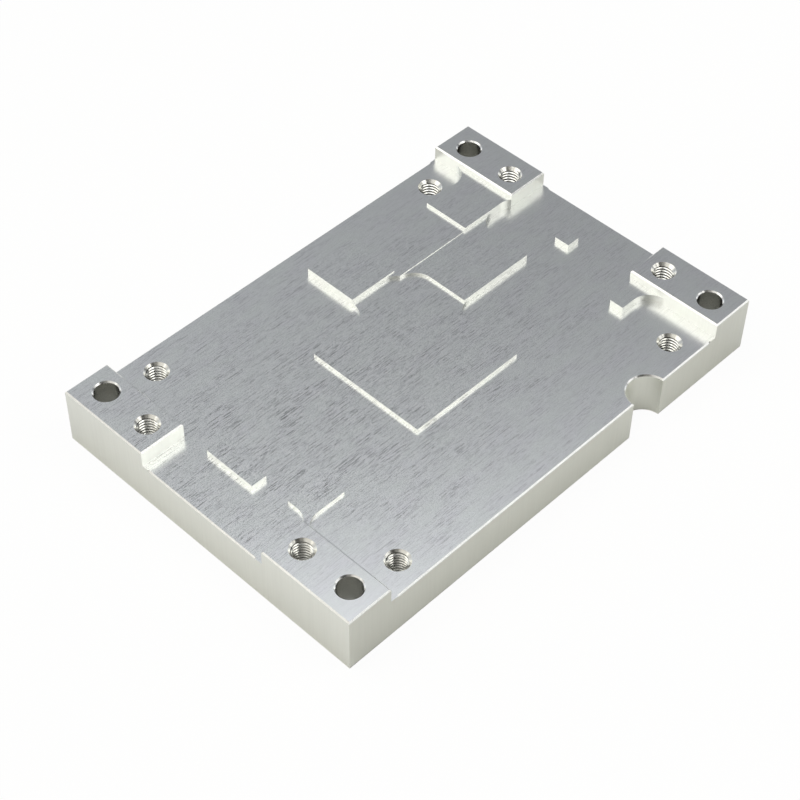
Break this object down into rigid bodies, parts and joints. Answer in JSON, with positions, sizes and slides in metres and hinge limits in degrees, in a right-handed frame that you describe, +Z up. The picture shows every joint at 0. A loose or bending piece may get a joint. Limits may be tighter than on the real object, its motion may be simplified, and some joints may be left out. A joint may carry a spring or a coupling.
{
  "type": "heat spreader",
  "caption": "Rectangular heat spreader plate with tall corner blocks, low stepped contact pads on a recessed floor, plain and tapped screw holes, and a half-round notch in one edge.",
  "frame": {"origin": "middle of the flat underside", "axes": "+X along the plate, towards the end with the notch; +Y across it, away from the notched edge; +Z up, out of the face with the pads"},
  "size_m": [0.076, 0.052, 0.009],
  "materials": {
    "milled_aluminium": "bare milled aluminium, bright, with fine cutter marks"
  },
  "bodies": {
    "root": {"spreader_plate": "milled_aluminium"}
  },
  "joints": []
}
